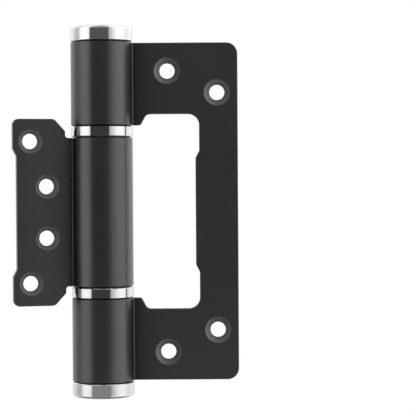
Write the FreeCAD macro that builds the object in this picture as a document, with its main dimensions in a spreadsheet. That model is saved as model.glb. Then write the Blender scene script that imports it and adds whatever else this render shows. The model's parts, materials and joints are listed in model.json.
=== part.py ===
import FreeCAD, Part
import Sketcher
import math
import os
import re

# Hydraulic door hinge: a three-knuckle barrel with a large leaf whose window takes the small leaf.
# A spring in the barrel closes the door, and an oil damper below it sets the closing speed.
# Z runs up the barrel's axis, +X points along the large leaf and -Y is its countersunk front.
# Heights are worked out from the middle of the barrel, and the whole part is lifted at the end
# so that the mouth of the lower access hole is the origin.

document = FreeCAD.newDocument("door_hinge")

# Driving dimensions in millimetres and degrees
dimensions = [
    ("barrel_dia", 25.4, "outside of knuckles, rings and caps"),
    ("tube_wall", 3.0, "wall of the knuckle tubes"),
    ("middle_length", 61.8, "middle knuckle"),
    ("outer_length", 34.95, "upper and lower knuckle"),
    ("ring_width", 4.2, "polished ring between two knuckles"),
    ("cap_height", 6.0, "polished head of an end cap"),
    ("cap_skirt", 3.0, "part of the cap inside the tube"),
    ("cap_round", 1.2, "rounded outer edge of the cap"),
    ("tube_chamfer", 0.25, "chamfer on the ends of knuckles and screws"),
    ("edge_break", 0.25, "broken edges of rings and caps"),
    ("seam_width", 0.4, "rebate at a knuckle's end, the dark seam beside a ring or cap"),
    ("seam_depth", 0.9, "depth of that rebate"),
    ("end_gap", 0.15, "axial running gap"),
    ("fit_gap", 0.05, "radial gap of a part fixed in the tubes"),
    ("running_gap", 0.05, "radial gap of a turning or sliding fit"),
    ("loose_gap", 0.3, "radial gap of parts that only pass each other"),
    ("leaf_thick", 3.0, "both leaves"),
    ("leaf_round", 0.35, "rounded edge on both faces of a leaf"),
    ("weld_leg", 0.7, "round weld bead between leaf and knuckle"),
    ("frame_reach", 56.15, "axis to the outer edge of the frame leaf"),
    ("frame_inset", 0.6, "ends of the frame leaf below the knuckles' ends"),
    ("frame_corner", 4.7, "outer corners of the frame leaf"),
    ("window_corner", 4.6, "outer corners of the window"),
    ("nest_gap_side", 2.7, "window beyond the nested door leaf, sideways"),
    ("nest_gap_end", 1.9, "window beyond the nested door leaf, above and below"),
    ("step_gap", 1.05, "window step inside the leaf step"),
    ("tab_rise", 0.35, "ends of the frame leaf's tabs beyond the rings"),
    ("tab_reach", 16.0, "reach of a tab at its end"),
    ("tab_root", 18.5, "reach of a tab at the window's edge"),
    ("tab_round", 1.3, "rounded tips of the tabs"),
    ("root_round", 2.6, "rounding where the tabs leave the window's ends"),
    ("door_reach", 35.9, "axis to the waist of the door leaf"),
    ("ear_reach", 37.45, "axis to the ears of the door leaf"),
    ("door_half", 38.3, "half the height of the door leaf"),
    ("ear_low", 26.1, "height where an ear has its full reach"),
    ("waist_high", 23.1, "height where the waist ends"),
    ("door_corner", 2.6, "outer corners of the door leaf"),
    ("shoulder_reach", 20.3, "start of the slanted shoulder at the leaf's top"),
    ("neck_reach", 15.7, "reach of the recess beside the rings"),
    ("shoulder_low", 33.2, "lower end of the slanted shoulder"),
    ("neck_inset", 0.4, "neck of the door leaf below the knuckle's end"),
    ("neck_round", 1.2, "rounding where the neck meets the leaf"),
    ("screw_hole", 6.3, "screw holes in the leaves"),
    ("frame_sink", 10.8, "countersinks of the frame leaf"),
    ("door_sink", 9.8, "countersinks of the door leaf"),
    ("sink_angle", 90.0, "cone angle of the countersinks"),
    ("frame_hole_near", 27.05, "inner holes of the frame leaf, sideways"),
    ("frame_hole_near_up", 58.0, "inner holes of the frame leaf, up and down"),
    ("frame_hole_edge", 8.55, "outer holes of the frame leaf to its outer edge"),
    ("frame_hole_far_up", 49.05, "outer holes of the frame leaf, up and down"),
    ("door_hole_far", 30.1, "outer holes of the door leaf, sideways"),
    ("door_hole_far_up", 29.1, "outer holes of the door leaf, up and down"),
    ("door_hole_near", 23.3, "inner holes of the door leaf, sideways"),
    ("door_hole_near_up", 10.6, "inner holes of the door leaf, up and down"),
    ("fold_angle", 16.0, "how far the door leaf is folded forward from flat"),
    ("full_swing", 180.0, "swing of the door leaf from flat to nested"),
    ("key_hole", 6.5, "access hole for a 5 mm hex key"),
    ("socket_flats", 5.1, "hex socket of both adjusting screws"),
    ("cap_pocket", 10.6, "room for the adjusting screws inside a cap"),
    ("cap_pocket_deep", 4.4, "depth of that room from the end of the skirt"),
    ("bush_wall", 1.2, "wall of the journal bushes"),
    ("bush_length", 6.1, "journal bushes"),
    ("washer_rim", 1.9, "wall of a bearing ring outside its thrust washer"),
    ("washer_thick", 1.0, "nylon thrust washers"),
    ("washer_proud", 0.1, "how far a thrust washer stands out of its ring"),
    ("flange_length", 6.0, "flanges of the pivot sleeve and the cam spindle"),
    ("sleeve_wall", 1.9, "wall of the pivot sleeve"),
    ("cam_step", 1.65, "cam tube inside the spindle's journal"),
    ("cam_foot", 4.25, "lowest pin position above the journal"),
    ("cam_crown", 4.8, "cam tube above the highest pin position"),
    ("stroke", 12.0, "travel of the plunger over the full swing"),
    ("pin_dia", 3.2, "cross pin"),
    ("slot_slip", 0.1, "gap on each side of the pin in its slots"),
    ("run_on_angle", 20.0, "turn by which a cam slot runs past each end position of the pin"),
    ("rod_dia", 7.0, "plunger rod"),
    ("head_gap", 0.8, "rod head above the cam tube at the end of the stroke"),
    ("head_length", 2.5, "rod head"),
    ("pilot_dia", 6.0, "spring pilots on the rod and the force seat"),
    ("pilot_length", 4.0, "spring pilot on the rod"),
    ("rest_washer", 1.0, "washer between rod head and spring"),
    ("spring_gap", 0.35, "room around the closing spring"),
    ("wire_width", 2.6, "spring wire, radially"),
    ("wire_height", 2.4, "spring wire, along the axis"),
    ("spring_turns", 8.5, "turns of the closing spring"),
    ("plug_length", 9.0, "threaded plug of the force screw"),
    ("force_screw_dia", 10.0, "force screw"),
    ("force_screw_length", 12.0, "force screw above the seat"),
    ("force_socket", 5.0, "depth of the force screw's socket"),
    ("tip_dia", 4.8, "pivot tip of the force screw"),
    ("tip_length", 0.8, "pivot tip of the force screw"),
    ("seat_room", 5.1, "plug to seat"),
    ("seat_length", 3.0, "force seat"),
    ("seat_pilot", 2.0, "spring pilot of the force seat"),
    ("gland_length", 3.0, "rod gland"),
    ("liner_wall", 1.95, "wall of the damper liner"),
    ("valve_length", 5.5, "valve body"),
    ("valve_wall", 1.4, "end wall of the valve body"),
    ("valve_room", 1.4, "chamber between that wall and the speed screw"),
    ("orifice_dia", 2.6, "orifice in the end wall"),
    ("piston_gap", 0.4, "piston below the gland with the door open"),
    ("piston_length", 4.2, "piston"),
    ("spigot_dia", 3.5, "rod end that carries the piston"),
    ("clip_dia", 6.0, "piston clip"),
    ("clip_thick", 0.8, "piston clip"),
    ("clip_pocket", 1.2, "recess for the clip under the piston"),
    ("ball_dia", 1.8, "check ball"),
    ("ball_wall", 0.8, "wall between the check valve and the piston's seal groove"),
    ("ball_port", 1.0, "small end of the check valve"),
    ("ball_seat_high", 1.4, "height of the check valve's seat above the piston's underside"),
    ("seal_width", 1.3, "seal grooves"),
    ("seal_depth", 1.0, "seal grooves"),
    ("seal_gap", 0.02, "seal to the surface that slides on it"),
    ("speed_screw_dia", 8.0, "speed screw"),
    ("speed_screw_length", 5.8, "speed screw"),
    ("speed_socket", 3.6, "depth of the speed screw's socket"),
    ("needle_dia", 2.2, "root of the needle"),
    ("needle_tip", 0.8, "tip of the needle"),
    ("needle_length", 2.0, "needle"),
    ("port_dia", 1.2, "oil ports"),
    ("duct_width", 1.6, "oil duct outside the liner"),
    ("duct_depth", 0.9, "oil duct outside the liner"),
]

sizes = document.addObject("Spreadsheet::Sheet", "Sizes")
for row, (alias, number, meaning) in enumerate(dimensions, start=1):
    sizes.set(f"A{row}", alias)
    sizes.set(f"B{row}", str(number))
    sizes.set(f"C{row}", meaning)
    sizes.setAlias(f"B{row}", alias)
document.recompute()

# Sizes that follow from the driving ones
derived = {
    "barrel_r": "barrel_dia / 2",
    "bore_r": "barrel_r - tube_wall",
    "insert_r": "bore_r - fit_gap",
    "middle_end": "middle_length / 2",
    "ring_start": "middle_end + end_gap",
    "outer_start": "ring_start + ring_width",
    "outer_end": "outer_start + outer_length",
    "half_length": "outer_end + cap_height",
    "skirt_end": "outer_end - cap_skirt",
    "frame_half": "outer_end - frame_inset",
    "leaf_half": "leaf_thick / 2",
    "tab_low": "outer_start + tab_rise",
    "frame_hole_far": "frame_reach - frame_hole_edge",
    "leaf_root": "barrel_r - tube_wall / 2",
    "neck_half": "middle_end - neck_inset",
    "weld_x": "sqrt(barrel_r ^ 2 - (leaf_half + weld_leg) ^ 2)",
    "window_half": "door_half + nest_gap_end",
    "window_reach": "door_reach + nest_gap_side",
    "window_ear": "ear_reach + nest_gap_side",
    "journal_r": "insert_r - bush_wall - running_gap",
    "guide_half": "middle_end - bush_length",
    "journal_end": "guide_half + end_gap",
    "flange_end": "outer_start + flange_length",
    "washer_r": "barrel_r - washer_rim",
    "sleeve_bore_r": "journal_r - sleeve_wall",
    "cam_r": "journal_r - cam_step",
    "guide_bore_r": "cam_r + loose_gap",
    "rod_r": "rod_dia / 2",
    "rod_hole_r": "rod_r + running_gap",
    "slot_half": "pin_dia / 2 + slot_slip",
    "pin_open": "journal_end - cam_foot - stroke",
    "pin_closed": "pin_open + stroke",
    "cam_top": "cam_crown - pin_open",
    "drop_shown": "stroke * fold_angle / full_swing",
    "pin_shown": "pin_open + drop_shown",
    "lead": "stroke * 360 / full_swing",
    "run_on_drop": "stroke * run_on_angle / full_swing",
    "head_low": "cam_top + stroke - drop_shown + head_gap",
    "head_high": "head_low + head_length",
    "spring_low": "head_high + rest_washer",
    "plug_low": "skirt_end - plug_length",
    "seat_top": "plug_low - seat_room",
    "seat_low": "seat_top - seat_length",
    "spring_r": "sleeve_bore_r - spring_gap",
    "spring_bore_r": "spring_r - wire_width",
    "force_screw_r": "force_screw_dia / 2",
    "force_screw_top": "seat_top + force_screw_length",
    "gland_end": "flange_end + gland_length",
    "liner_end": "skirt_end - valve_length",
    "cylinder_r": "insert_r - liner_wall",
    "piston_r": "cylinder_r - running_gap",
    "piston_top": "gland_end + piston_gap + drop_shown",
    "piston_end": "piston_top + piston_length",
    "clip_low": "piston_end - clip_pocket + clip_thick",
    "spigot_r": "spigot_dia / 2",
    "ball_r": "ball_dia / 2",
    "ball_reach": "piston_r - seal_depth - ball_wall - ball_r - fit_gap",
    "speed_bore_r": "speed_screw_r + running_gap",
    "speed_screw_r": "speed_screw_dia / 2",
    "speed_top": "liner_end + valve_wall + valve_room",
    "speed_end": "speed_top + speed_screw_length",
    "speed_seal_mid": "speed_top + seal_width",
    "port_high": "liner_end + valve_wall + valve_room / 2",
    "duct_top": "gland_end + port_dia",
}
cell_names = {alias for alias, number, meaning in dimensions}


def formula(text):
    # spells out the derived sizes of an expression and points the others at the sheet
    def spell(match):
        word = match.group(0)
        if word in derived:
            return f"({formula(derived[word])})"
        if word in cell_names:
            return f"Sizes.{word}"
        return word
    return re.sub(r"[a-z_]+", spell, text)


def value(text):
    # present number of an expression
    return float(sizes.evalExpression(formula(text)))


def newBody(label, turnsWithDoor=False):
    body = document.addObject("PartDesign::Body", label)
    body.Label = label
    if turnsWithDoor:
        body.Placement = FreeCAD.Placement(FreeCAD.Vector(), FreeCAD.Rotation(FreeCAD.Vector(0, 0, 1), 1))
        body.setExpression("Placement.Rotation.Angle", formula("fold_angle * 1 deg"))
    body.setExpression("Placement.Base.z", formula("half_length"))
    return body


def newSketch(body, name, plane, lift=None):
    # a sketch on one of the body's own origin planes, lifted along the plane's normal
    sketch = body.newObject("Sketcher::SketchObject", f"{body.Label}_{name}")
    origin = [item for item in body.Origin.OriginFeatures if item.Role == plane]
    sketch.AttachmentSupport = [(origin[0], "")]
    sketch.MapMode = "FlatFace"
    if lift is not None:
        sketch.setExpression("AttachmentOffset.Base.z", formula(lift))
    return sketch


def pin(sketch, index, end, across, up):
    # ties a point of the sketch to two expressions
    for kind, text in (("DistanceX", across), ("DistanceY", up)):
        number = sketch.addConstraint(Sketcher.Constraint(kind, -1, 1, index, end, value(text)))
        sketch.setExpression(f"Constraints[{number}]", formula(text))


def outline(sketch, corners):
    # closed outline through corners (across, up); a third entry makes the stretch to the next
    # corner an arc of that radius, or a half circle, which bulges to the left of the way it runs
    first = sketch.GeometryCount
    points = [FreeCAD.Vector(value(corner[0]), value(corner[1]), 0) for corner in corners]
    for number, corner in enumerate(corners):
        start = points[number]
        end = points[(number + 1) % len(corners)]
        if len(corner) == 2:
            sketch.addGeometry(Part.LineSegment(start, end), False)
            continue
        half = (end - start) / 2
        radius = half.Length if corner[2] == "half circle" else value(corner[2])
        side = FreeCAD.Vector(-half.y, half.x, 0).normalize()
        rise = radius - math.sqrt(max(radius ** 2 - half.Length ** 2, 0))
        sketch.addGeometry(Part.Arc(start, start + half + side * rise, end), False)
    for number, corner in enumerate(corners):
        current = first + number
        following = first + (number + 1) % len(corners)
        startEnd = pointAt(sketch, current, points[number])
        finish = pointAt(sketch, current, points[(number + 1) % len(corners)])
        nextStart = pointAt(sketch, following, points[(number + 1) % len(corners)])
        sketch.addConstraint(Sketcher.Constraint("Coincident", current, finish, following, nextStart))
        pin(sketch, current, startEnd, corner[0], corner[1])
        if len(corner) == 2:
            continue
        if corner[2] == "half circle":
            # its centre lies level with, or plumb above, the corner that it starts from
            level = abs(points[number].y - points[(number + 1) % len(corners)].y) < 1e-6
            kind, text = ("DistanceY", corner[1]) if level else ("DistanceX", corner[0])
            bend = sketch.addConstraint(Sketcher.Constraint(kind, -1, 1, current, 3, value(text)))
        else:
            text = corner[2]
            bend = sketch.addConstraint(Sketcher.Constraint("Radius", current, value(text)))
        sketch.setExpression(f"Constraints[{bend}]", formula(text))


def pointAt(sketch, index, place):
    # 1 or 2: the end of a line or arc that lies at a place
    gap = [(sketch.getPoint(index, end) - place).Length for end in (1, 2)]
    return 1 if gap[0] <= gap[1] else 2


def circles(sketch, centres, radius):
    for across, up in centres:
        middle = FreeCAD.Vector(value(across), value(up), 0)
        index = sketch.addGeometry(Part.Circle(middle, FreeCAD.Vector(0, 0, 1), value(radius)), False)
        pin(sketch, index, 3, across, up)
        number = sketch.addConstraint(Sketcher.Constraint("Radius", index, value(radius)))
        sketch.setExpression(f"Constraints[{number}]", formula(radius))


def feature(body, kind, name, sketch, **settings):
    item = body.newObject(f"PartDesign::{kind}", f"{body.Label}_{name}")
    item.Profile = sketch
    for key, setting in settings.items():
        if isinstance(setting, str) and setting.startswith("="):
            item.setExpression(key, formula(setting[1:]))
        else:
            setattr(item, key, setting)
    document.recompute()
    return item


def turned(label, profile, turnsWithDoor=False):
    # a turned piece: a closed profile of (radius, height) corners spun about the barrel's axis
    body = newBody(label, turnsWithDoor)
    sketch = newSketch(body, "profile", "XZ_Plane")
    outline(sketch, profile)
    feature(body, "Revolution", "turning", sketch, ReferenceAxis=(sketch, ["V_Axis"]), Angle=360)
    return body


def cutThrough(body, name, plane, centres, radius):
    # round holes right through, along the normal of an origin plane
    sketch = newSketch(body, name, plane)
    circles(sketch, centres, radius)
    return feature(body, "Pocket", f"{name}_cut", sketch, Type="ThroughAll", Midplane=True)


def cutSlots(body, name, plane, outlines, depth, lift=None, **settings):
    # straight-sided recesses from outlines on an origin plane
    sketch = newSketch(body, name, plane, lift)
    for corners in outlines:
        outline(sketch, corners)
    return feature(body, "Pocket", f"{name}_cut", sketch, Length=f"={depth}", **settings)


def hexSocket(body, name, face, depth, fromAbove):
    # hexagon pocket in the end face of an adjusting screw
    sketch = newSketch(body, name, "XY_Plane", face)
    corner = "socket_flats / 2 / cos(30)"
    corners = []
    for step in range(6):
        corners.append((f"{corner} * cos({60 * step})", f"{corner} * sin({60 * step})"))
    outline(sketch, corners)
    return feature(body, "Pocket", f"{name}_cut", sketch, Length=f"={depth}", Reversed=not fromAbove)


def edgesWhere(item, test):
    names = [f"Edge{number}" for number, edge in enumerate(item.Shape.Edges, start=1) if test(edge)]
    if not names:
        raise RuntimeError(f"{item.Label}: no edge to round")
    return names


def rounded(body, name, base, test, radius):
    item = body.newObject("PartDesign::Fillet", f"{body.Label}_{name}")
    item.Base = (base, edgesWhere(base, test))
    item.setExpression("Radius", formula(radius))
    document.recompute()
    return item


def cornerRound(body, name, base, corners, radius):
    # rounds the upright corners of a plate at the given places
    places = [(value(across), value(up)) for across, up in corners]

    def atCorner(edge):
        ends = [vertex.Point for vertex in edge.Vertexes]
        if len(ends) != 2:
            return False
        return any(all(math.hypot(end.x - x, end.z - z) < 1e-4 for end in ends) for x, z in places)

    return rounded(body, name, base, atCorner, radius)


def plate(label, side, outlineCorners, rounds, weldSpan, holes, sink, turnsWithDoor=False):
    # a leaf: padded outline, rounded corners and face edges, weld beads, the barrel's hollow
    # and countersunk holes; side is the sign of the direction in which it reaches
    body = newBody(label, turnsWithDoor)
    sketch = newSketch(body, "outline", "XZ_Plane")
    outline(sketch, outlineCorners)
    solid = feature(body, "Pad", "plate", sketch, Midplane=True, Length="=leaf_thick")
    for number, (corners, radius) in enumerate(rounds):
        solid = cornerRound(body, f"corners_{number}", solid, corners, radius)

    face = value("leaf_half")
    root = value("leaf_root")

    def onFace(edge):
        box = edge.BoundBox
        onOneFace = box.YLength < 1e-6 and abs(abs(box.YMin) - face) < 1e-6
        inTube = box.XLength < 1e-6 and abs(abs(box.XMin) - root) < 1e-6
        return onOneFace and not inTube

    rounded(body, "edges", solid, onFace, "leaf_round")

    for number, (low, high) in enumerate(weldSpan):
        weld = newSketch(body, f"weld_{number}", "XY_Plane", low)
        for front in ("-1", "1"):
            inside = f"{side} * (weld_x - weld_leg)"
            foot = f"{side} * (weld_x + weld_leg)"
            crest = f"{side} * weld_x"
            buried = f"{front} * (leaf_half - weld_leg)"
            level = f"{front} * leaf_half"
            top = f"{front} * (leaf_half + weld_leg)"
            block = [(inside, top), (inside, buried), (foot, buried)]
            if side * int(front) < 0:
                outline(weld, [(foot, level, "weld_leg"), (crest, top)] + block)
            else:
                # the same bead run the other way, so that its arc still bulges out of the corner
                outline(weld, [(crest, top, "weld_leg"), (foot, level)] + block[::-1])
        feature(body, "Pad", f"weld_{number}_pad", weld, Length=f"={high} - ({low})")

    hollow = newSketch(body, "hollow", "XY_Plane")
    circles(hollow, [("0", "0")], "barrel_r")
    feature(body, "Pocket", "hollow_cut", hollow, Type="ThroughAll", Midplane=True)

    centres = newSketch(body, "holes", "XZ_Plane", "leaf_half")
    circles(centres, holes, "screw_hole / 2")
    document.recompute()
    hole = body.newObject("PartDesign::Hole", f"{label}_screw_holes")
    hole.Profile = centres
    document.recompute()
    hole.DepthType = "ThroughAll"
    hole.HoleCutType = "Countersink"
    hole.HoleCutCustomValues = True
    hole.setExpression("Diameter", formula("screw_hole"))
    hole.setExpression("HoleCutDiameter", formula(sink))
    hole.setExpression("HoleCutCountersinkAngle", formula("sink_angle"))
    document.recompute()
    return body


# Leaves

def mirrored(corners):
    # the same corners below the middle, in the order that carries the outline on
    return [(across, f"-({up})") for across, up in reversed(corners)]


frame_upper = [
    ("window_reach", "waist_high - step_gap"),
    ("window_ear", "ear_low - step_gap"),
    ("window_ear", "window_half"),
    ("tab_root", "window_half"),
    ("tab_reach", "tab_low"),
    ("leaf_root", "tab_low"),
    ("leaf_root", "frame_half"),
    ("frame_reach", "frame_half"),
]
frame_outline = frame_upper + mirrored(frame_upper)


def bothEnds(corners):
    return corners + mirrored(corners)


plate(
    "frame_leaf_plate",
    1,
    frame_outline,
    [
        (bothEnds([("frame_reach", "frame_half")]), "frame_corner"),
        (bothEnds([("window_ear", "window_half")]), "window_corner"),
        (bothEnds([("tab_root", "window_half")]), "root_round"),
        (bothEnds([("tab_reach", "tab_low")]), "tab_round"),
    ],
    [("tab_low", "frame_half"), ("-frame_half", "-tab_low")],
    bothEnds([("frame_hole_near", "frame_hole_near_up"), ("frame_hole_far", "frame_hole_far_up")]),
    "frame_sink",
)

door_upper = [
    ("-door_reach", "waist_high"),
    ("-ear_reach", "ear_low"),
    ("-ear_reach", "door_half"),
    ("-shoulder_reach", "door_half"),
    ("-neck_reach", "shoulder_low"),
    ("-neck_reach", "neck_half"),
    ("-leaf_root", "neck_half"),
]
plate(
    "door_leaf_plate",
    -1,
    bothEnds(door_upper),
    [
        (bothEnds([("-ear_reach", "door_half")]), "door_corner"),
        (bothEnds([("-neck_reach", "neck_half")]), "neck_round"),
    ],
    [("-neck_half", "neck_half")],
    bothEnds([("-door_hole_far", "door_hole_far_up"), ("-door_hole_near", "door_hole_near_up")]),
    "door_sink",
    turnsWithDoor=True,
)


# Knuckles, rings and caps

def tube(label, low, high, turnsWithDoor=False):
    return turned(label, [
        ("bore_r", low),
        ("barrel_r - seam_depth", low),
        ("barrel_r - seam_depth", f"{low} + seam_width"),
        ("barrel_r - tube_chamfer", f"{low} + seam_width"),
        ("barrel_r", f"{low} + seam_width + tube_chamfer"),
        ("barrel_r", f"{high} - seam_width - tube_chamfer"),
        ("barrel_r - tube_chamfer", f"{high} - seam_width"),
        ("barrel_r - seam_depth", f"{high} - seam_width"),
        ("barrel_r - seam_depth", high),
        ("bore_r", high),
    ], turnsWithDoor)


tube("upper_knuckle", "outer_start", "outer_end")
tube("lower_knuckle", "-outer_end", "-outer_start")
tube("middle_knuckle", "-middle_end", "middle_end", turnsWithDoor=True)


def ended(label, profile, end, turnsWithDoor=False):
    # a turned piece of the upper (end 1) or lower (end -1) half, from one list of heights
    return turned(label, [(corner[0], f"{end} * ({corner[1]})") for corner in profile], turnsWithDoor)


def onRim(edge):
    # the full circle at the outside of a cap's end face
    box = edge.BoundBox
    level = abs(abs(box.ZMin) - value("half_length")) < 1e-4 and box.ZLength < 1e-6
    return level and abs(box.XLength - value("barrel_dia")) < 1e-4


for name, end in (("upper", 1), ("lower", -1)):
    cap = ended(f"{name}_cap", [
        ("key_hole / 2", "skirt_end + cap_pocket_deep"),
        ("key_hole / 2", "half_length"),
        ("barrel_r", "half_length"),
        ("barrel_r", "outer_end + edge_break"),
        ("barrel_r - edge_break", "outer_end"),
        ("insert_r", "outer_end"),
        ("insert_r", "skirt_end"),
        ("cap_pocket / 2", "skirt_end"),
        ("cap_pocket / 2", "skirt_end + cap_pocket_deep"),
    ], end)
    rounded(cap, "rim", cap.Tip, onRim, "cap_round")
    ended(f"{name}_bearing_ring", [
        ("journal_r + fit_gap", "ring_start + washer_thick - washer_proud"),
        ("washer_r + fit_gap", "ring_start + washer_thick - washer_proud"),
        ("washer_r + fit_gap", "ring_start"),
        ("barrel_r - edge_break", "ring_start"),
        ("barrel_r", "ring_start + edge_break"),
        ("barrel_r", "outer_start - edge_break"),
        ("barrel_r - edge_break", "outer_start"),
        ("journal_r + fit_gap", "outer_start"),
    ], end)
    ended(f"{name}_thrust_washer", [
        ("journal_r + fit_gap", "ring_start - washer_proud"),
        ("washer_r", "ring_start - washer_proud"),
        ("washer_r", "ring_start - washer_proud + washer_thick"),
        ("journal_r + fit_gap", "ring_start - washer_proud + washer_thick"),
    ], end)
    ended(f"{name}_journal_bush", [
        ("journal_r + running_gap", "guide_half"),
        ("insert_r", "guide_half"),
        ("insert_r", "middle_end"),
        ("journal_r + running_gap", "middle_end"),
    ], end, turnsWithDoor=True)


# Pivot, cam and plunger

ended("upper_pivot_sleeve", [
    ("sleeve_bore_r", "journal_end"),
    ("journal_r", "journal_end"),
    ("journal_r", "outer_start"),
    ("insert_r", "outer_start"),
    ("insert_r", "flange_end"),
    ("sleeve_bore_r", "flange_end"),
], 1)

spindle = turned("cam_spindle", [
    ("rod_hole_r", "-flange_end"),
    ("insert_r", "-flange_end"),
    ("insert_r", "-outer_start"),
    ("journal_r", "-outer_start"),
    ("journal_r", "-journal_end"),
    ("cam_r", "-journal_end"),
    ("cam_r", "cam_top"),
    ("rod_hole_r", "cam_top"),
])
# The cam: the slot's half height grows towards the axis, because the same drop is a steeper
# climb on a smaller circle and the round pin has to pass at every radius
slot_profile = newSketch(spindle, "cam_profile", "XZ_Plane")
turn_back = FreeCAD.Rotation(FreeCAD.Vector(0, -1, 0), 1)
slot_profile.AttachmentOffset = FreeCAD.Placement(FreeCAD.Vector(), turn_back)
slot_profile.setExpression("AttachmentOffset.Rotation.Angle", formula("run_on_angle * 1 deg"))
slot_in = "(rod_hole_r - loose_gap)"
slot_out = "(cam_r + loose_gap)"
climb = "slot_half * sqrt(1 + (lead / (2 * pi * {0})) ^ 2)"
slot_start = "(run_on_drop - pin_open)"
outline(slot_profile, [
    (slot_in, f"{slot_start} - {climb.format(slot_in)}"),
    (slot_out, f"{slot_start} - {climb.format(slot_out)}"),
    (slot_out, f"{slot_start} + {climb.format(slot_out)}"),
    (slot_in, f"{slot_start} + {climb.format(slot_in)}"),
])
cam_slot = feature(
    spindle, "SubtractiveHelix", "cam_slot", slot_profile,
    ReferenceAxis=(slot_profile, ["V_Axis"]), Mode=0,
    Pitch="=lead", Height="=stroke + 2 * run_on_drop", LeftHanded=True, Reversed=True,
)
cam_pair = spindle.newObject("PartDesign::PolarPattern", "cam_spindle_pair")
cam_pair.Originals = [cam_slot]
cam_pair.Axis = (slot_profile, ["V_Axis"])
cam_pair.Angle = 360
cam_pair.Occurrences = 2
spindle.Tip = cam_pair
document.recompute()
cutThrough(spindle, "slot_ends", "YZ_Plane", [("0", "-pin_open"), ("0", "-pin_closed")], "slot_half")

guide = turned("guide_sleeve", [
    ("guide_bore_r", "-guide_half"),
    ("insert_r", "-guide_half"),
    ("insert_r", "guide_half"),
    ("guide_bore_r", "guide_half"),
], turnsWithDoor=True)
guide_slot = [
    ("-slot_half", "-pin_open", "half circle"),
    ("slot_half", "-pin_open"),
    ("slot_half", "-pin_closed", "half circle"),
    ("-slot_half", "-pin_closed"),
]
cutSlots(guide, "slots", "YZ_Plane", [guide_slot], "barrel_dia", Type="ThroughAll", Midplane=True)

rod = turned("plunger_rod", [
    ("0", "-clip_low"),
    ("spigot_r", "-clip_low"),
    ("spigot_r", "-piston_top"),
    ("rod_r", "-piston_top"),
    ("rod_r", "head_low"),
    ("cam_r", "head_low"),
    ("cam_r", "head_high"),
    ("pilot_dia / 2", "head_high"),
    ("pilot_dia / 2", "head_high + pilot_length"),
    ("0", "head_high + pilot_length"),
], turnsWithDoor=True)
cutThrough(rod, "pin_hole", "YZ_Plane", [("0", "-pin_shown")], "pin_dia / 2")

cross_pin = newBody("cross_pin", turnsWithDoor=True)
pin_section = newSketch(cross_pin, "section", "YZ_Plane")
circles(pin_section, [("0", "-pin_shown")], "pin_dia / 2")
feature(cross_pin, "Pad", "length", pin_section, Midplane=True, Length="=2 * (bore_r - loose_gap)")

turned("spring_rest_washer", [
    ("pilot_dia / 2 + fit_gap", "head_high"),
    ("cam_r", "head_high"),
    ("cam_r", "spring_low"),
    ("pilot_dia / 2 + fit_gap", "spring_low"),
], turnsWithDoor=True)


# Closing spring and its adjuster

spring = newBody("closing_spring")
wire = newSketch(spring, "wire", "XZ_Plane")
outline(wire, [
    ("spring_bore_r", "spring_low"),
    ("spring_r", "spring_low"),
    ("spring_r", "spring_low + wire_height"),
    ("spring_bore_r", "spring_low + wire_height"),
])
feature(
    spring, "AdditiveHelix", "coils", wire,
    ReferenceAxis=(wire, ["V_Axis"]), Mode=0,
    Pitch="=(seat_low - spring_low - wire_height) / spring_turns",
    Height="=seat_low - spring_low - wire_height",
)

turned("force_seat", [
    ("0", "seat_low - seat_pilot"),
    ("pilot_dia / 2", "seat_low - seat_pilot"),
    ("pilot_dia / 2", "seat_low"),
    ("bore_r - loose_gap", "seat_low"),
    ("bore_r - loose_gap", "seat_top"),
    ("tip_dia / 2 + loose_gap", "seat_top"),
    ("tip_dia / 2 + loose_gap", "seat_top - tip_length - end_gap"),
    ("0", "seat_top - tip_length - end_gap"),
])
force_screw = turned("force_screw", [
    ("0", "seat_top - tip_length"),
    ("tip_dia / 2", "seat_top - tip_length"),
    ("tip_dia / 2", "seat_top"),
    ("force_screw_r - tube_chamfer", "seat_top"),
    ("force_screw_r", "seat_top + tube_chamfer"),
    ("force_screw_r", "force_screw_top - tube_chamfer"),
    ("force_screw_r - tube_chamfer", "force_screw_top"),
    ("0", "force_screw_top"),
])
hexSocket(force_screw, "socket", "force_screw_top", "force_socket", fromAbove=True)
turned("force_plug", [
    ("force_screw_r + running_gap", "plug_low"),
    ("insert_r", "plug_low"),
    ("insert_r", "skirt_end"),
    ("force_screw_r + running_gap", "skirt_end"),
])


# Oil damper

def sealRing(label, radius, height, grooveDepth, turnsWithDoor=False, stand="0"):
    # a square-section ring that fills a groove: outward grooves have a positive depth
    inner = f"{radius} - seal_depth" if grooveDepth > 0 else radius
    outer = radius if grooveDepth > 0 else f"{radius} + seal_depth"
    half = "(seal_width / 2 - fit_gap)"
    return turned(label, [
        (f"{inner} + {stand}", f"{height} - {half}"),
        (f"{outer} + {stand}", f"{height} - {half}"),
        (f"{outer} + {stand}", f"{height} + {half}"),
        (f"{inner} + {stand}", f"{height} + {half}"),
    ], turnsWithDoor)


gland_mid = "(flange_end + gland_length / 2)"
turned("rod_gland", [
    ("rod_hole_r", "-flange_end"),
    ("insert_r", "-flange_end"),
    ("insert_r", f"-{gland_mid} + seal_width / 2"),
    ("insert_r - seal_depth", f"-{gland_mid} + seal_width / 2"),
    ("insert_r - seal_depth", f"-{gland_mid} - seal_width / 2"),
    ("insert_r", f"-{gland_mid} - seal_width / 2"),
    ("insert_r", "-gland_end"),
    ("rod_hole_r", "-gland_end"),
    ("rod_hole_r", f"-{gland_mid} - seal_width / 2"),
    ("rod_hole_r + seal_depth", f"-{gland_mid} - seal_width / 2"),
    ("rod_hole_r + seal_depth", f"-{gland_mid} + seal_width / 2"),
    ("rod_hole_r", f"-{gland_mid} + seal_width / 2"),
])
sealRing("gland_seal", "insert_r", f"-{gland_mid}", 1)
sealRing("rod_seal", "rod_r + seal_gap", f"-{gland_mid}", -1)

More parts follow.
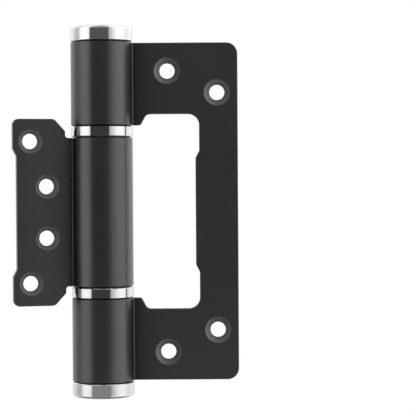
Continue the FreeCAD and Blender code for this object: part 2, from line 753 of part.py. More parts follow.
liner = turned("damper_liner", [
    ("cylinder_r", "-liner_end"),
    ("insert_r", "-liner_end"),
    ("insert_r", "-gland_end"),
    ("cylinder_r", "-gland_end"),
])


def ductCut(body, low, high):
    # the oil duct is a straight channel along the outside of the liner and the valve body
    return cutSlots(body, "duct", "XZ_Plane", [[
        ("-duct_width / 2", low),
        ("duct_width / 2", low),
        ("duct_width / 2", high),
        ("-duct_width / 2", high),
    ]], "duct_depth", lift="-insert_r", Reversed=True)


def portCut(body, height):
    # a radial port on the side of the duct
    sketch = newSketch(body, "port", "XZ_Plane")
    circles(sketch, [("0", height)], "port_dia / 2")
    return feature(body, "Pocket", "port_cut", sketch, Type="Length", Length="=insert_r")


ductCut(liner, "-liner_end", "-duct_top")
portCut(liner, "-duct_top - port_dia / 2")

valve_seal_mid = "(skirt_end - seal_width)"
valve = turned("valve_body", [
    ("speed_bore_r", "-skirt_end"),
    ("insert_r", "-skirt_end"),
    ("insert_r", f"-{valve_seal_mid} - seal_width / 2"),
    ("insert_r - seal_depth", f"-{valve_seal_mid} - seal_width / 2"),
    ("insert_r - seal_depth", f"-{valve_seal_mid} + seal_width / 2"),
    ("insert_r", f"-{valve_seal_mid} + seal_width / 2"),
    ("insert_r", "-liner_end"),
    ("orifice_dia / 2", "-liner_end"),
    ("orifice_dia / 2", "-liner_end - valve_wall"),
    ("speed_bore_r", "-liner_end - valve_wall"),
])
ductCut(valve, "-port_high - port_dia / 2", "-liner_end")
portCut(valve, "-port_high")
sealRing("valve_body_seal", "insert_r", f"-{valve_seal_mid}", 1)

piston_mid = "(piston_top + piston_length / 2)"
piston = turned("piston", [
    ("spigot_r + fit_gap", "-piston_end + clip_pocket"),
    ("clip_dia / 2 + fit_gap", "-piston_end + clip_pocket"),
    ("clip_dia / 2 + fit_gap", "-piston_end"),
    ("piston_r", "-piston_end"),
    ("piston_r", f"-{piston_mid} - seal_width / 2"),
    ("piston_r - seal_depth", f"-{piston_mid} - seal_width / 2"),
    ("piston_r - seal_depth", f"-{piston_mid} + seal_width / 2"),
    ("piston_r", f"-{piston_mid} + seal_width / 2"),
    ("piston_r", "-piston_top"),
    ("spigot_r + fit_gap", "-piston_top"),
], turnsWithDoor=True)
cutThrough(piston, "ball_port", "XY_Plane", [("ball_reach", "0")], "ball_port / 2")
ball_room = newSketch(piston, "ball_room", "XY_Plane", "-piston_end + ball_seat_high")
circles(ball_room, [("ball_reach", "0")], "ball_r + fit_gap")
feature(piston, "Pocket", "ball_room_cut", ball_room, Length="=piston_length", Reversed=True)
sealRing("piston_seal", "piston_r", f"-{piston_mid}", 1, turnsWithDoor=True, stand="running_gap - seal_gap")

turned("piston_clip", [
    ("spigot_r + fit_gap", "-clip_low"),
    ("clip_dia / 2", "-clip_low"),
    ("clip_dia / 2", "-clip_low + clip_thick"),
    ("spigot_r + fit_gap", "-clip_low + clip_thick"),
], turnsWithDoor=True)

ball = newBody("check_ball", turnsWithDoor=True)
half_disc = newSketch(ball, "half_disc", "XZ_Plane")
ball_mid = "(-piston_end + ball_seat_high + ball_r)"
outline(half_disc, [
    ("ball_reach", f"{ball_mid} - ball_r", "half circle"),
    ("ball_reach", f"{ball_mid} + ball_r"),
])
feature(ball, "Revolution", "turning", half_disc, ReferenceAxis=(half_disc, ["Edge2"]), Angle=360)

speed_screw = turned("speed_screw", [
    ("0", "-speed_end"),
    ("speed_screw_r - tube_chamfer", "-speed_end"),
    ("speed_screw_r", "-speed_end + tube_chamfer"),
    ("speed_screw_r", "-speed_seal_mid - seal_width / 2"),
    ("speed_screw_r - seal_depth", "-speed_seal_mid - seal_width / 2"),
    ("speed_screw_r - seal_depth", "-speed_seal_mid + seal_width / 2"),
    ("speed_screw_r", "-speed_seal_mid + seal_width / 2"),
    ("speed_screw_r", "-speed_top"),
    ("needle_dia / 2", "-speed_top"),
    ("needle_tip / 2", "-speed_top + needle_length"),
    ("0", "-speed_top + needle_length"),
])
hexSocket(speed_screw, "socket", "-speed_end", "speed_socket", fromAbove=False)
sealRing("speed_seal", "speed_screw_r + seal_gap", "-speed_seal_mid", 1)

document.recompute()

# Every object and every solid is tested before a file is written
for item in document.Objects:
    if "Invalid" in item.State or "Error" in item.State:
        raise RuntimeError(f"{item.Label} failed: {item.State}")
bodies = [item for item in document.Objects if item.TypeId == "PartDesign::Body"]
for body in bodies:
    if body.Shape.isNull() or not body.Shape.isValid() or not body.Shape.Solids:
        raise RuntimeError(f"{body.Label} has no valid solid")

os.makedirs("parts", exist_ok=True)
for body in bodies:
    body.Shape.exportStep(f"parts/{body.Label}.step")
    print(f"{body.Label}: {body.Shape.Volume:.1f} mm3, {len(body.Shape.Solids)} solid")
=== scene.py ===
import json
import math

import bmesh
import bpy
from mathutils import Matrix, Vector


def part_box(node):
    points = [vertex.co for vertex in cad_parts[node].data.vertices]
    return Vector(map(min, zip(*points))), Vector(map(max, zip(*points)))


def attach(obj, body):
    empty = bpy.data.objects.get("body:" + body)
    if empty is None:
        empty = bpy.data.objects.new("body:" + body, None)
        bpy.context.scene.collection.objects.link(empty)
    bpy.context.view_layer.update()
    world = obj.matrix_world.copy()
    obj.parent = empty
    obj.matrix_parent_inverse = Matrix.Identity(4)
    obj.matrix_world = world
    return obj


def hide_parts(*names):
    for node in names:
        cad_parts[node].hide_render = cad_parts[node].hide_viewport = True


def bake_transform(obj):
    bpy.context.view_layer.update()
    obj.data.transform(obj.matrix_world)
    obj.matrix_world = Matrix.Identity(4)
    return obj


# Hydraulic door hinge: black leaves and knuckles, polished caps and rings, and the spring and
# damper parts in the barrel. The shapes come from the frame; this script adds finish and light.

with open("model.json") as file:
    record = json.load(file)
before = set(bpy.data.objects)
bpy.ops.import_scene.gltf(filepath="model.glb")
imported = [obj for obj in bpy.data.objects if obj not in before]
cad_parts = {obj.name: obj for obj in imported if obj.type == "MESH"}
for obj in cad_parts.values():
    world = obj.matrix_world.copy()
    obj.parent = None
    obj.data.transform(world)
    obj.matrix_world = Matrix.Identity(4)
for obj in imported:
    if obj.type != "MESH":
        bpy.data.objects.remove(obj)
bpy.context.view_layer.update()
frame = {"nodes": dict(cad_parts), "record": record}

mm = 0.001
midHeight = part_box("upper_cap")[1][2] / 2       # the barrel stands on height 0
plainWhite = (1, 1, 1, 1)
colourA, colourB, colourOut = 6, 7, 2           # a Mix node's colour sockets, whose names recur


def colour(hexValue):
    # sRGB hex to linear RGBA
    channels = [int(hexValue[i:i + 2], 16) / 255 for i in (1, 3, 5)]
    linear = [c / 12.92 if c <= 0.04045 else ((c + 0.055) / 1.055) ** 2.4 for c in channels]
    return (*linear, 1.0)


def addNode(tree, kind, links=None, **settings):
    # one node with its settings; links maps an input to a value or to another node's output
    node = tree.nodes.new(kind)
    for key, setting in settings.items():
        setattr(node, key, setting)
    for name, source in (links or {}).items():
        socket = node.inputs[name]
        if isinstance(source, bpy.types.NodeSocket):
            tree.links.new(source, socket)
        else:
            socket.default_value = source
    return node


def newMaterial(name):
    # an empty material with its output and a texture space in metres
    material = bpy.data.materials.new(name)
    material.use_nodes = True
    tree = material.node_tree
    tree.nodes.clear()
    output = addNode(tree, "ShaderNodeOutputMaterial")
    place = addNode(tree, "ShaderNodeTexCoord").outputs["Object"]
    return material, tree, output, place


# Powder coat: thermoset polyester powder, sprayed and stoved on blasted steel. The eye sees a
# near-black satin with a broad soft highlight and a very fine orange peel.
powderCoat = {
    "base": "#151616",
    "tint": "#191a1a",          # where the film is a little thicker
    "leafLitBase": "#1c1d1d",      # painted light: the leaves' copy of the coat is a shade lighter than the knuckles'
    "leafLitTint": "#212222",
    "roughness": (0.25, 0.32),
    "ior": 1.5,
    "specular": 1.0,            # carbon black close under the surface adds to the resin's own gloss
    # Painted shade: where the ambient occlusion finds a wall near, the coat is darkened and its
    # gloss dimmed.
    "paintedCreaseShade": "#0a0a0a",    # colour of the painted shade, deepest right in the corner
    "creaseShadeSpecular": 0.05,
    "creaseShadeMm": 12.0,           # a wall nearer than this brings on the painted shade
    "creaseOpen": (0.55, 1.0),  # how open a place is at the corner and where the painted shade ends
    "creaseRays": 8,
    "sinkLitTone": "#505151",      # countersinks: painted light, a greyish tone where their walls catch the light
    "sinkHoleShade": "#323333",      # painted shade next to the hole
    "sinkOpen": (0.76, 0.88),   # how open the wall is next to the hole and at the rim, between painted shade and painted light
    "sinkRoughness": 0.45,
    "sinkSpecular": 0.45,
    "sinkSlant": 0.7071,        # their walls stand at 45 degrees to the leaf, as nothing else does
    "slantSlack": 0.03,
    "peelMm": 0.9,              # width of one swell of the orange peel
    "peelDepthMm": 0.006,
    "grainMm": 0.25,            # grains that didn't flow out; the real ones are too fine to show
    "grainDepthMm": 0.0025,
    "cloudMm": 30.0,            # from where the film is thicker to where it is thinner
}


def sinkWalls(tree, front, s):
    # 1 on the countersinks of a leaf that faces along front, in the leaf's own space
    normal = addNode(tree, "ShaderNodeTexCoord").outputs["Normal"]
    facing = addNode(tree, "ShaderNodeVectorMath", {
        0: normal, 1: front}, operation="DOT_PRODUCT").outputs["Value"]
    slant = addNode(tree, "ShaderNodeMath", {0: facing}, operation="ABSOLUTE").outputs["Value"]
    return addNode(tree, "ShaderNodeMath", {
        0: slant, 1: s["sinkSlant"], 2: s["slantSlack"]}, operation="COMPARE").outputs["Value"]


def sinkLightAndShade(tree, front, openness, coat, s):
    # the coat's tone, roughness and gloss, with painted light on the countersinks' walls and
    # painted shade next to the hole
    sink = sinkWalls(tree, front, s)
    rim = addNode(tree, "ShaderNodeMapRange", {
        "Value": openness, "From Min": s["sinkOpen"][0], "From Max": s["sinkOpen"][1]})
    wall = addNode(tree, "ShaderNodeMix", {
        "Factor": rim.outputs["Result"], colourA: colour(s["sinkHoleShade"]),
        colourB: colour(s["sinkLitTone"])}, data_type="RGBA").outputs[colourOut]
    tone, roughness, specular = coat
    return (
        addNode(tree, "ShaderNodeMix", {
            "Factor": sink, colourA: tone, colourB: wall}, data_type="RGBA").outputs[colourOut],
        addNode(tree, "ShaderNodeMix", {
            "Factor": sink, "A": roughness, "B": s["sinkRoughness"]}).outputs["Result"],
        addNode(tree, "ShaderNodeMix", {
            "Factor": sink, "A": specular, "B": s["sinkSpecular"]}).outputs["Result"])


def blackPowderCoat(name, front=None):
    # for a leaf, front is the way it faces
    s = powderCoat
    material, tree, output, place = newMaterial(name)
    pattern = {}
    for kind, detail in (("cloud", 2.0), ("peel", 1.0), ("grain", 2.0)):
        pattern[kind] = addNode(tree, "ShaderNodeTexNoise", {
            "Vector": place, "Scale": 1 / (s[kind + "Mm"] * mm), "Detail": detail}).outputs["Fac"]
    # the leaves take the lighter copy, which is painted light
    base, tint = (s["leafLitBase"], s["leafLitTint"]) if front else (s["base"], s["tint"])
    film = addNode(tree, "ShaderNodeMix", {
        "Factor": pattern["cloud"], colourA: colour(base), colourB: colour(tint)},
        data_type="RGBA").outputs[colourOut]
    # painted shade in the corners: the coat darkens and its gloss dims where a wall is near
    openness = addNode(tree, "ShaderNodeAmbientOcclusion", {
        "Distance": s["creaseShadeMm"] * mm}, samples=s["creaseRays"]).outputs["AO"]
    reach = addNode(tree, "ShaderNodeMapRange", {
        "Value": openness, "From Min": s["creaseOpen"][0], "From Max": s["creaseOpen"][1]},
        interpolation_type="SMOOTHSTEP").outputs["Result"]
    tone = addNode(tree, "ShaderNodeMix", {
        "Factor": reach, colourA: colour(s["paintedCreaseShade"]), colourB: film},
        data_type="RGBA").outputs[colourOut]
    roughness = addNode(tree, "ShaderNodeMapRange", {
        "Value": pattern["grain"],
        "To Min": s["roughness"][0], "To Max": s["roughness"][1]}).outputs["Result"]
    specular = addNode(tree, "ShaderNodeMapRange", {
        "Value": reach, "To Min": s["creaseShadeSpecular"], "To Max": s["specular"]}).outputs["Result"]
    # on a leaf: painted light on the countersinks and painted shade next to their holes
    if front:
        tone, roughness, specular = sinkLightAndShade(
            tree, front, openness, (tone, roughness, specular), s)
    swells = addNode(tree, "ShaderNodeBump", {
        "Height": pattern["peel"], "Distance": s["peelDepthMm"] * mm}).outputs["Normal"]
    grains = addNode(tree, "ShaderNodeBump", {
        "Height": pattern["grain"], "Distance": s["grainDepthMm"] * mm,
        "Normal": swells}).outputs["Normal"]
    shader = addNode(tree, "ShaderNodeBsdfPrincipled", {
        "Base Color": tone, "Roughness": roughness,
        "IOR": s["ior"], "Specular IOR Level": specular, "Normal": grains})
    tree.links.new(shader.outputs["BSDF"], output.inputs["Surface"])
    return material


# Stainless steel, turned and then polished on a lathe: it mirrors the studio as tall strips, and
# fine rings round the axis draw the highlights out sideways.
polished = {
    "base": "#dcdcdb",
    "roughness": (0.07, 0.14),
    "ringMm": 0.35,             # the real marks are finer; this is as fine as the render shows
    "ringDepthMm": 0.0004,
    "smearMm": 6.0,             # slight unevenness of the buffing
}


def latheSpace(tree, place):
    # radius and height of a point about the barrel's axis
    parts = addNode(tree, "ShaderNodeSeparateXYZ", {"Vector": place}).outputs
    flat = addNode(tree, "ShaderNodeCombineXYZ", {
        "X": parts["X"], "Y": parts["Y"]}).outputs["Vector"]
    radius = addNode(tree, "ShaderNodeVectorMath", {0: flat}, operation="LENGTH").outputs["Value"]
    return addNode(tree, "ShaderNodeCombineXYZ", {
        "X": radius, "Z": parts["Z"]}).outputs["Vector"]


def turnedMetal(name, s):
    # metal with lathe rings: noise that varies only with radius and height
    material, tree, output, place = newMaterial(name)
    rings = addNode(tree, "ShaderNodeTexNoise", {
        "Vector": latheSpace(tree, place), "Scale": 1 / (s["ringMm"] * mm),
        "Detail": 3.0}).outputs["Fac"]
    smear = addNode(tree, "ShaderNodeTexNoise", {
        "Vector": place, "Scale": 1 / (s["smearMm"] * mm), "Detail": 2.0}).outputs["Fac"]
    wear = addNode(tree, "ShaderNodeMath", {
        0: rings, 1: smear}, operation="MULTIPLY").outputs["Value"]
    roughness = addNode(tree, "ShaderNodeMapRange", {
        "Value": wear, "To Min": s["roughness"][0], "To Max": s["roughness"][1]}).outputs["Result"]
    marks = addNode(tree, "ShaderNodeBump", {
        "Height": rings, "Distance": s["ringDepthMm"] * mm}).outputs["Normal"]
    shader = addNode(tree, "ShaderNodeBsdfPrincipled", {
        "Base Color": colour(s["base"]), "Metallic": 1.0,
        "Roughness": roughness, "Normal": marks})
    tree.links.new(shader.outputs["BSDF"], output.inputs["Surface"])
    return material


# On the next four too, the marks are drawn coarser than the real ones.

# Free-cutting steel, turned and ground: grey with a plain sheen and visible tool rings.
ground = {"base": "#c2c4c6", "roughness": (0.22, 0.38),
          "ringMm": 0.5, "ringDepthMm": 0.001, "smearMm": 8.0}

# Silicon-chrome spring wire, oil tempered: dark brownish grey with a thin oil gloss.
springWire = {"base": "#74716c", "roughness": (0.25, 0.42),
              "ringMm": 0.8, "ringDepthMm": 0.001, "smearMm": 3.0}

# Steel screws, zinc plated and clear passivated: bright blue-grey, slightly cloudy.
zinc = {"base": "#c9ced4", "roughness": (0.28, 0.45),
        "ringMm": 0.6, "ringDepthMm": 0.001, "smearMm": 4.0}

# Tin bronze, sintered and oil filled: dull golden brown with open pores.
bronze = {"base": "#b08a52", "roughness": (0.35, 0.55),
          "ringMm": 0.4, "ringDepthMm": 0.002, "smearMm": 1.0}


# Nylon 6, injection moulded and uncoloured: milky, waxy and faintly see-through at its edges.
# The grain of the mould is drawn coarser than the real one.
nylonLook = {"base": "#e3dfd2", "roughness": (0.38, 0.50), "ior": 1.53,
             "scatter": 0.15, "scatterMm": 0.6, "grainMm": 0.4}


def mouldedNylon():
    s = nylonLook
    material, tree, output, place = newMaterial("mouldedNylon")
    grain = addNode(tree, "ShaderNodeTexNoise", {
        "Vector": place, "Scale": 1 / (s["grainMm"] * mm), "Detail": 2.0}).outputs["Fac"]
    roughness = addNode(tree, "ShaderNodeMapRange", {
        "Value": grain, "To Min": s["roughness"][0], "To Max": s["roughness"][1]}).outputs["Result"]
    shader = addNode(tree, "ShaderNodeBsdfPrincipled", {
        "Base Color": colour(s["base"]), "Roughness": roughness, "IOR": s["ior"],
        "Subsurface Weight": s["scatter"], "Subsurface Scale": s["scatterMm"] * mm})
    tree.links.new(shader.outputs["BSDF"], output.inputs["Surface"])
    return material


# Nitrile rubber seals, compression moulded: deep matt black with a weak oily sheen. The grain of
# the skin is drawn coarser than the real one.
rubberLook = {"base": "#1d1d1d", "roughness": (0.5, 0.7), "ior": 1.52,
              "grainMm": 0.3, "grainDepthMm": 0.003}


def nitrileRubber():
    s = rubberLook
    material, tree, output, place = newMaterial("nitrileRubber")
    grain = addNode(tree, "ShaderNodeTexNoise", {
        "Vector": place, "Scale": 1 / (s["grainMm"] * mm), "Detail": 3.0}).outputs["Fac"]
    skin = addNode(tree, "ShaderNodeBump", {
        "Height": grain, "Distance": s["grainDepthMm"] * mm}).outputs["Normal"]
    roughness = addNode(tree, "ShaderNodeMapRange", {
        "Value": grain, "To Min": s["roughness"][0], "To Max": s["roughness"][1]}).outputs["Result"]
    shader = addNode(tree, "ShaderNodeBsdfPrincipled", {
        "Base Color": colour(s["base"]), "Roughness": roughness,
        "IOR": s["ior"], "Normal": skin})
    tree.links.new(shader.outputs["BSDF"], output.inputs["Surface"])
    return material


finishes = {
    "black_coat": blackPowderCoat("blackPowderCoat"),
    "polished_steel": turnedMetal("polishedStainless", polished),
    "ground_steel": turnedMetal("groundSteel", ground),
    "spring_steel": turnedMetal("temperedSpringWire", springWire),
    "zinc_steel": turnedMetal("zincPlatedSteel", zinc),
    "bronze": turnedMetal("sinteredBronze", bronze),
    "nylon": mouldedNylon(),
    "seal_rubber": nitrileRubber(),
}


def leafFront(node):
    # a leaf faces the way its largest facet does
    return Vector(max(node.data.polygons, key=lambda facet: facet.area).normal)


# The leaves have the same coat, in a copy painted a shade lighter, with their countersinks told
# apart for painted light and shade
leafCoats = {
    plate: blackPowderCoat(name, tuple(leafFront(frame["nodes"][plate])))
    for plate, name in (("frame_leaf_plate", "blackPowderCoatFrameLeaf"),
                        ("door_leaf_plate", "blackPowderCoatDoorLeaf"))}

for subpart in frame["record"]["subparts"]:
    node = frame["nodes"][subpart["node"]]
    finish = leafCoats.get(subpart["node"], finishes[subpart["material_slot"]])
    for number in range(max(1, len(node.material_slots))):
        if number < len(node.material_slots):
            node.material_slots[number].material = finish
        else:
            node.data.materials.append(finish)


# The door leaf's shoulders are rounded where they leave its upper and lower edge. A copy of the
# plate stands for the CAD's, with those two corners rolled over.
shoulder = {
    "roundMm": 2.3,
    "cornerDegrees": (44.0, 52.0),  # the outline turns by that much there and nowhere else
    "steps": 5,
    "plateMm": 2.0,             # an edge through the plate is longer than this
    "straightness": 0.999,      # and runs straight through it, as a cosine
    "breakMm": 0.5,             # the rounded rims of the plate reach in less than this
    "weldMm": 0.0001,           # points nearer than this are one
    "flatDegrees": 0.3,         # facets that turn by less lie in one plane
    "smoothDegrees": 22.0,      # shading runs on over edges that turn by less
}


def cornerEdges(plate, across, s):
    # the edges that run from face to face at the two corners, over the rounded rims too
    least, most = s["cornerDegrees"]
    found = []
    for edge in plate.edges:
        start = edge.verts[0].co
        run = edge.verts[1].co - start
        if run.length < s["plateMm"] * mm:
            continue
        if abs(run.normalized().dot(across)) < s["straightness"]:
            continue
        if least < math.degrees(edge.calc_face_angle(0)) < most:
            near = {point for point in plate.verts
                    if (point.co - start).cross(across).length < s["breakMm"] * mm}
            found += [step for step in plate.edges if near.issuperset(step.verts)]
    return found


def putInOrder(parts, place):
    rank = {part: number for number, part in enumerate(sorted(parts, key=place))}
    parts.sort(key=rank.get)


def roundedPlate(node, s):
    # a mesh of the plate with its two corners rounded, and the number of edges rounded for it
    turn = math.radians(sum(s["cornerDegrees"]) / 2)
    plate = bmesh.new()
    plate.from_mesh(node.data)
    bmesh.ops.remove_doubles(plate, verts=plate.verts, dist=s["weldMm"] * mm)
    ends = {end for edge in cornerEdges(plate, leafFront(node), s) for end in edge.verts}
    fans = [edge for edge in plate.edges if not ends.isdisjoint(edge.verts)
            and edge.calc_face_angle(0) < math.radians(s["flatDegrees"])]
    bmesh.ops.dissolve_edges(plate, edges=fans, use_verts=False)
    edges = cornerEdges(plate, leafFront(node), s)
    bmesh.ops.bevel(
        plate, geom=edges, offset=s["roundMm"] * mm * math.tan(turn / 2), offset_type="OFFSET",
        segments=s["steps"], profile=0.5, affect="EDGES", clamp_overlap=False)
    bmesh.ops.triangulate(plate, faces=[facet for facet in plate.faces if len(facet.verts) > 4])
    putInOrder(plate.verts, lambda point: point.co[:])  # the bevel leaves them in no fixed order
    putInOrder(plate.faces, lambda facet: facet.calc_center_median()[:])
    mesh = bpy.data.meshes.new("door_leaf_rounded")
    plate.to_mesh(mesh)
    plate.free()
    mesh.attributes.remove(mesh.attributes["custom_normal"])    # they belong to the old corners
    mesh.shade_smooth()
    mesh.set_sharp_from_angle(angle=math.radians(s["smoothDegrees"]))
    return mesh, len(edges)


def roundedLeaf(s):
    mesh, count = roundedPlate(frame["nodes"]["door_leaf_plate"], s)
    mesh.materials.append(leafCoats["door_leaf_plate"])
    leaf = bpy.data.objects.new("door_leaf_rounded", mesh)
    bpy.context.scene.collection.objects.link(leaf)
    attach(leaf, "door_leaf")
    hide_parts("door_leaf_plate")
    print("door leaf: edges rounded", count)


roundedLeaf(shoulder)


def drawnSpring():
    wire = frame["nodes"]["closing_spring"].data.copy()
    coil = bpy.data.objects.new("closing_spring_coil", wire)
    bpy.context.scene.collection.objects.link(coil)
    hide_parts("closing_spring")
    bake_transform(coil)


drawnSpring()


# Studio: two tall softboxes at the sides, a pale floor below and white all round. Directions are
# degrees round the barrel from straight in front, positive to the right.
softboxes = {
    "leftSoftbox": {"from": -66.0, "distance": 0.80, "rise": 0.1,
                    "width": 0.56, "height": 1.3, "radiance": 1.2},
    "rightSoftbox": {"from": 75.0, "distance": 0.75, "rise": 0.55,
                     "width": 1.10, "height": 1.6, "radiance": 3.6},
}


def softbox(name, s):
    lamp = bpy.data.lights.new(name, "AREA")
    lamp.shape = "RECTANGLE"
    lamp.size = s["width"]
    lamp.size_y = s["height"]
    lamp.energy = s["radiance"] * math.pi * s["width"] * s["height"]  # watts for that radiance
    holder = bpy.data.objects.new(name, lamp)
    bpy.context.scene.collection.objects.link(holder)
    turn = math.radians(s["from"])
    away = Vector((math.sin(turn), -math.cos(turn), 0))
    holder.visible_glossy = False   # gloss shows the lit cloth instead, which has no hard edges
    holder.location = away * s["distance"] + Vector((0, 0, midHeight + s["rise"]))
    holder.rotation_euler = away.to_track_quat("Z", "Y").to_euler()


for name, box in softboxes.items():
    softbox(name, box)


# The white cloth all round and the floor. The cloth lights dull surfaces evenly, and gloss shows
# how it goes from light to dark.
studio = {
    "dim": 0.5,                 # light from all round on dull surfaces
    "tent": [                   # degrees, and the cloth's brightness there as gloss shows it
        (-180, 0.40), (-152, 0.96), (-130, 1.02), (-108, 0.70), (-91, 0.70), (-77, 1.30),
        (-62, 1.38), (-48, 1.20), (-30, 0.70), (30, 0.55), (39, 0.72), (51, 1.05), (63, 1.27),
        (77, 1.38), (91, 1.30), (108, 1.10), (130, 1.20), (152, 1.12), (180, 0.40)],
    "tentRise": (-0.15, 0.25),  # it is lit a little more from above
    "tentShare": (0.84, 1.22),
    "gap": (-41.0, 31.0),       # dark room in front, which polished steel mirrors
    "gapShade": ("#3c3c3c", "#9a9a9a"),     # level with the hinge and a few degrees higher
    "gapRise": (0.04, 0.22),
    "gapTop": (0.72, 0.92),     # higher up the cloth closes again
    "gapFloor": "#949494",      # the floor in front, as polished steel mirrors it
    "underShadowFloor": "#8a8a8a",    # painted shadow of the hinge on the floor under it, as polished steel mirrors it
    "underReach": (0.10, 0.35),
    "floorDrop": 0.12,
    "floorSize": 2.8,
    "floorShade": "#f2f2f1",
    "floorRoughness": 0.9,
    "floorSpecular": 0.2,
    "shadowReach": (0.35, 0.70),    # the floor turns plain white between these distances
}


def seenDirectly(tree):
    # 1 for the camera's own rays and for what gloss and glass show; and 1 for gloss alone
    path = addNode(tree, "ShaderNodeLightPath").outputs
    mirrored = addNode(tree, "ShaderNodeMath", {
        0: path["Is Glossy Ray"], 1: path["Is Transmission Ray"]},
        operation="MAXIMUM").outputs["Value"]
    seen = addNode(tree, "ShaderNodeMath", {
        0: path["Is Camera Ray"], 1: mirrored}, operation="MAXIMUM").outputs["Value"]
    return seen, path["Is Glossy Ray"]


def inGap(tree, place, gap):
    # 1 where a place or direction lies within the dark wedge in front
    middle = math.radians((gap[0] + gap[1]) / 2)
    halfWidth = math.radians((gap[1] - gap[0]) / 2)
    level = addNode(tree, "ShaderNodeVectorMath", {
        0: place, 1: (1, 1, 0)}, operation="MULTIPLY").outputs["Vector"]
    facing = addNode(tree, "ShaderNodeVectorMath", {
        0: level}, operation="NORMALIZE").outputs["Vector"]
    along = addNode(tree, "ShaderNodeVectorMath", {
        0: facing, 1: (math.sin(middle), -math.cos(middle), 0)}, operation="DOT_PRODUCT")
    return addNode(tree, "ShaderNodeMath", {
        0: along.outputs["Value"], 1: math.cos(halfWidth)},
        operation="GREATER_THAN").outputs["Value"]


def tentCourse(tree, place, stops, top):
    # the cloth's brightness round the barrel, as a share of the brightest
    parts = addNode(tree, "ShaderNodeSeparateXYZ", {"Vector": place}).outputs
    front = addNode(tree, "ShaderNodeMath", {
        0: parts["Y"], 1: -1.0}, operation="MULTIPLY").outputs["Value"]
    turn = addNode(tree, "ShaderNodeMath", {
        0: parts["X"], 1: front}, operation="ARCTAN2").outputs["Value"]
    part = addNode(tree, "ShaderNodeMapRange", {
        "Value": turn, "From Min": -math.pi, "From Max": math.pi}).outputs["Result"]
    ramp = addNode(tree, "ShaderNodeValToRGB", {"Fac": part})
    ramp.color_ramp.interpolation = "CARDINAL"
    course = ramp.color_ramp.elements
    course.remove(course[1])
    for number, (degrees, level) in enumerate(stops):
        stop = course[0] if number == 0 else course.new((degrees + 180) / 360)
        stop.color = (level / top, level / top, level / top, 1)
    return ramp.outputs["Color"]


def clothLight(tree, place, glossy, s):
    # plain white, or what gloss shows of the cloth: its course round the barrel and upward
    top = max(level for degrees, level in s["tent"])    # a ramp holds values up to 1 only
    course = tentCourse(tree, place, s["tent"], top)
    heading = addNode(tree, "ShaderNodeVectorMath", {
        0: place}, operation="NORMALIZE").outputs["Vector"]
    rise = addNode(tree, "ShaderNodeSeparateXYZ", {"Vector": heading}).outputs["Z"]
    share = addNode(tree, "ShaderNodeMapRange", {
        "Value": rise, "From Min": s["tentRise"][0], "From Max": s["tentRise"][1],
        "To Min": s["tentShare"][0] * top, "To Max": s["tentShare"][1] * top}).outputs["Result"]
    tent = addNode(tree, "ShaderNodeVectorMath", {
        0: course, "Scale": share}, operation="SCALE").outputs["Vector"]
    return addNode(tree, "ShaderNodeMix", {
        "Factor": glossy, colourA: plainWhite, colourB: tent},
        data_type="RGBA").outputs[colourOut]


def whiteRoom(s):
    world = bpy.data.worlds.new("whiteRoom")
    bpy.context.scene.world = world
    world.use_nodes = True
    tree = world.node_tree
    tree.nodes.clear()
    seen, glossy = seenDirectly(tree)
    place = addNode(tree, "ShaderNodeTexCoord").outputs["Generated"]
    rise = addNode(tree, "ShaderNodeSeparateXYZ", {"Vector": place}).outputs["Z"]
    higher = addNode(tree, "ShaderNodeMapRange", {
        "Value": rise, "From Min": s["gapRise"][0], "From Max": s["gapRise"][1]})
    gapShade = addNode(tree, "ShaderNodeMix", {
        "Factor": higher.outputs["Result"], colourA: colour(s["gapShade"][0]),
        colourB: colour(s["gapShade"][1])}, data_type="RGBA").outputs[colourOut]
    under = addNode(tree, "ShaderNodeMapRange", {
        "Value": rise, "From Min": s["gapTop"][0], "From Max": s["gapTop"][1],
        "To Min": 1.0, "To Max": 0.0}, interpolation_type="SMOOTHSTEP").outputs["Result"]
    gap = addNode(tree, "ShaderNodeMath", {
        0: inGap(tree, place, s["gap"]), 1: under}, operation="MULTIPLY").outputs["Value"]
    dark = addNode(tree, "ShaderNodeMath", {
        0: gap, 1: glossy}, operation="MULTIPLY").outputs["Value"]
    shade = addNode(tree, "ShaderNodeMix", {
        "Factor": dark, colourA: clothLight(tree, place, glossy, s), colourB: gapShade},
        data_type="RGBA").outputs[colourOut]
    shown = addNode(tree, "ShaderNodeBackground", {"Color": shade, "Strength": 1.0}).outputs[0]
    lit = addNode(tree, "ShaderNodeBackground", {
        "Color": plainWhite, "Strength": s["dim"]}).outputs[0]
    room = addNode(tree, "ShaderNodeMixShader", {0: seen, 1: lit, 2: shown}).outputs[0]
    addNode(tree, "ShaderNodeOutputWorld", {"Surface": room})


def floorMirrored(tree, place, distance, glossy, s):
    # the colour in which the floor glows, with the hinge's painted shadow under it, and 1 where
    # gloss shows it darker than the cloth
    dark = addNode(tree, "ShaderNodeMath", {
        0: inGap(tree, place, s["gap"]), 1: glossy}, operation="MULTIPLY").outputs["Value"]
    inFront = addNode(tree, "ShaderNodeMix", {
        "Factor": dark, colourA: clothLight(tree, place, glossy, s),
        colourB: colour(s["gapFloor"])}, data_type="RGBA").outputs[colourOut]
    # painted shadow: gloss sees the floor under the hinge as a glowing grey
    under = addNode(tree, "ShaderNodeMapRange", {
        "Value": distance, "From Min": s["underReach"][0], "From Max": s["underReach"][1],
        "To Min": 1.0, "To Max": 0.0}, interpolation_type="SMOOTHSTEP").outputs["Result"]
    shaded = addNode(tree, "ShaderNodeMath", {
        0: under, 1: glossy}, operation="MULTIPLY").outputs["Value"]
    shade = addNode(tree, "ShaderNodeMix", {
        "Factor": shaded, colourA: inFront, colourB: colour(s["underShadowFloor"])},
        data_type="RGBA").outputs[colourOut]
    darker = addNode(tree, "ShaderNodeMath", {
        0: dark, 1: shaded}, operation="MAXIMUM").outputs["Value"]
    return shade, darker


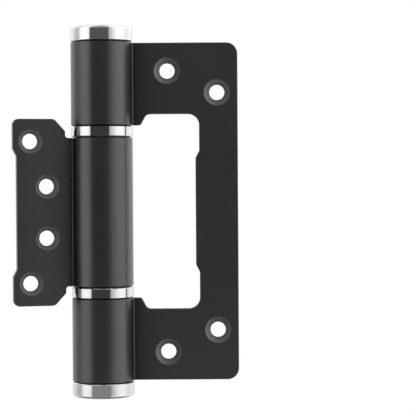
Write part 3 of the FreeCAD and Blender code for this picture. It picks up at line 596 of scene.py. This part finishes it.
def floorMaterial(level, s):
    # matt and pale near the hinge, where its shadow falls, and plain white farther out
    material, tree, output, place = newMaterial("paleFloor")
    seen, glossy = seenDirectly(tree)
    away = addNode(tree, "ShaderNodeVectorMath", {
        0: place, 1: (0, 0, -level)}, operation="ADD").outputs["Vector"]
    distance = addNode(tree, "ShaderNodeVectorMath", {
        0: away}, operation="LENGTH").outputs["Value"]
    far = addNode(tree, "ShaderNodeMapRange", {
        "Value": distance, "From Min": s["shadowReach"][0], "From Max": s["shadowReach"][1]},
        interpolation_type="SMOOTHSTEP").outputs["Result"]
    plain = addNode(tree, "ShaderNodeMath", {
        0: far, 1: seen}, operation="MULTIPLY").outputs["Value"]
    shade, darker = floorMirrored(tree, place, distance, glossy, s)
    matt = addNode(tree, "ShaderNodeBsdfPrincipled", {
        "Base Color": colour(s["floorShade"]), "Roughness": s["floorRoughness"],
        "Specular IOR Level": s["floorSpecular"]}).outputs["BSDF"]
    bright = addNode(tree, "ShaderNodeEmission", {
        "Color": shade, "Strength": 1.0}).outputs["Emission"]
    shown = addNode(tree, "ShaderNodeMath", {
        0: plain, 1: darker}, operation="MAXIMUM").outputs["Value"]
    mixed = addNode(tree, "ShaderNodeMixShader", {0: shown, 1: matt, 2: bright}).outputs[0]
    tree.links.new(mixed, output.inputs["Surface"])
    return material


def paleFloor(s):
    half, level = s["floorSize"] / 2, -s["floorDrop"]
    corners = [(x * half, y * half, level) for x, y in ((-1, -1), (1, -1), (1, 1), (-1, 1))]
    mesh = bpy.data.meshes.new("floor")
    mesh.from_pydata(corners, [], [(0, 1, 2, 3)])
    mesh.materials.append(floorMaterial(level, s))
    floor = bpy.data.objects.new("floor", mesh)
    bpy.context.scene.collection.objects.link(floor)


whiteRoom(studio)
paleFloor(studio)
print("studio: two softboxes, white room, floor")


# Camera: a long lens nearly square on to the frame leaf, a little above mid-height.
view = {
    "rightMm": 40.94,           # from the barrel's axis
    "frontMm": 717.0,
    "aboveMm": 14.48,           # from mid-height
    "yaw": 0.0038,              # radians, positive to the right
    "pitch": -0.0184,           # positive upwards
    "roll": -0.0062,
    "focalPixels": 1733.5,      # for an image of imagePixels across
    "imagePixels": 416,
    "sensorMm": 36.0,
    "farthest": 50.0,           # metres
}


def photoCamera(v):
    camera = bpy.data.cameras.new("photoCamera")
    camera.sensor_width = v["sensorMm"]
    camera.sensor_fit = "HORIZONTAL"
    camera.lens = v["focalPixels"] / v["imagePixels"] * camera.sensor_width
    camera.clip_end = v["farthest"]
    holder = bpy.data.objects.new("photoCamera", camera)
    bpy.context.scene.collection.objects.link(holder)
    forward = Vector((math.sin(v["yaw"]) * math.cos(v["pitch"]),
                      math.cos(v["yaw"]) * math.cos(v["pitch"]), math.sin(v["pitch"])))
    level = Vector((math.cos(v["yaw"]), -math.sin(v["yaw"]), 0))
    up = level.cross(forward)
    across = math.cos(v["roll"]) * level + math.sin(v["roll"]) * up
    upright = -math.sin(v["roll"]) * level + math.cos(v["roll"]) * up
    axes = Matrix((across, upright, -forward)).transposed()
    place = Vector((v["rightMm"] * mm, -v["frontMm"] * mm, midHeight + v["aboveMm"] * mm))
    holder.matrix_world = Matrix.Translation(place) @ axes.to_4x4()
    bpy.context.scene.camera = holder


photoCamera(view)
bpy.context.scene.view_settings.view_transform = "Standard"
print("camera: lens", round(bpy.context.scene.camera.data.lens, 1), "mm")
